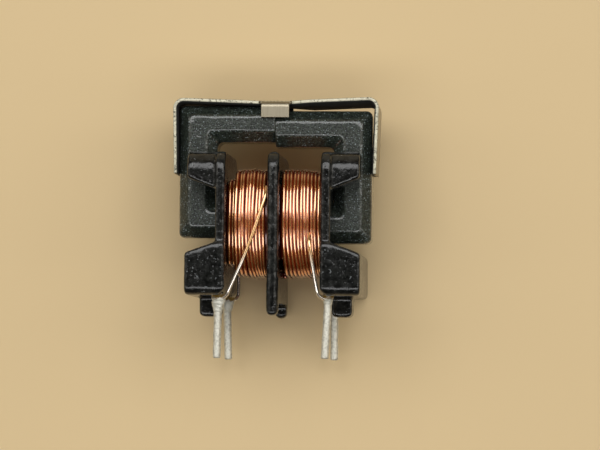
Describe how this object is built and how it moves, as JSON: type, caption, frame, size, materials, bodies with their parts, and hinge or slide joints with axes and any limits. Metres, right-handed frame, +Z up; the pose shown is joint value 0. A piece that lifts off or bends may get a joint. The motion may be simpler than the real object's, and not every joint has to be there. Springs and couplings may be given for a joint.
{
  "type": "line filter",
  "caption": "Through-hole common-mode choke: paired ferrite U cores in a black moulded coil former with copper windings, tinned pins and a spring clip.",
  "frame": {"origin": "centre of the four-pin pattern on the seating plane, where the feet rest on the board", "axes": "+X from left to right along the coil axis, +Y from front to rear, +Z up from the board"},
  "size_m": [0.0151, 0.0104, 0.0191],
  "materials": {
    "former": "moulded black plastic under uneven varnish",
    "ferrite": "sintered charcoal ferrite with fine grain",
    "wire": "enamelled copper",
    "pin": "dip-tinned, slightly lumpy",
    "solder": "solder over wire wraps, with traces of flux",
    "clip": "rolled spring strip with sheared edges"
  },
  "bodies": {
    "root": {"former": "former", "left_core": "ferrite", "right_core": "ferrite", "left_winding": "wire", "right_winding": "wire", "pin_front_left": "pin", "pin_front_right": "pin", "pin_rear_left": "pin", "pin_rear_right": "pin", "solder_front_left": "solder", "solder_front_right": "solder", "solder_rear_left": "solder", "solder_rear_right": "solder", "spring_clip": "clip"}
  },
  "joints": []
}
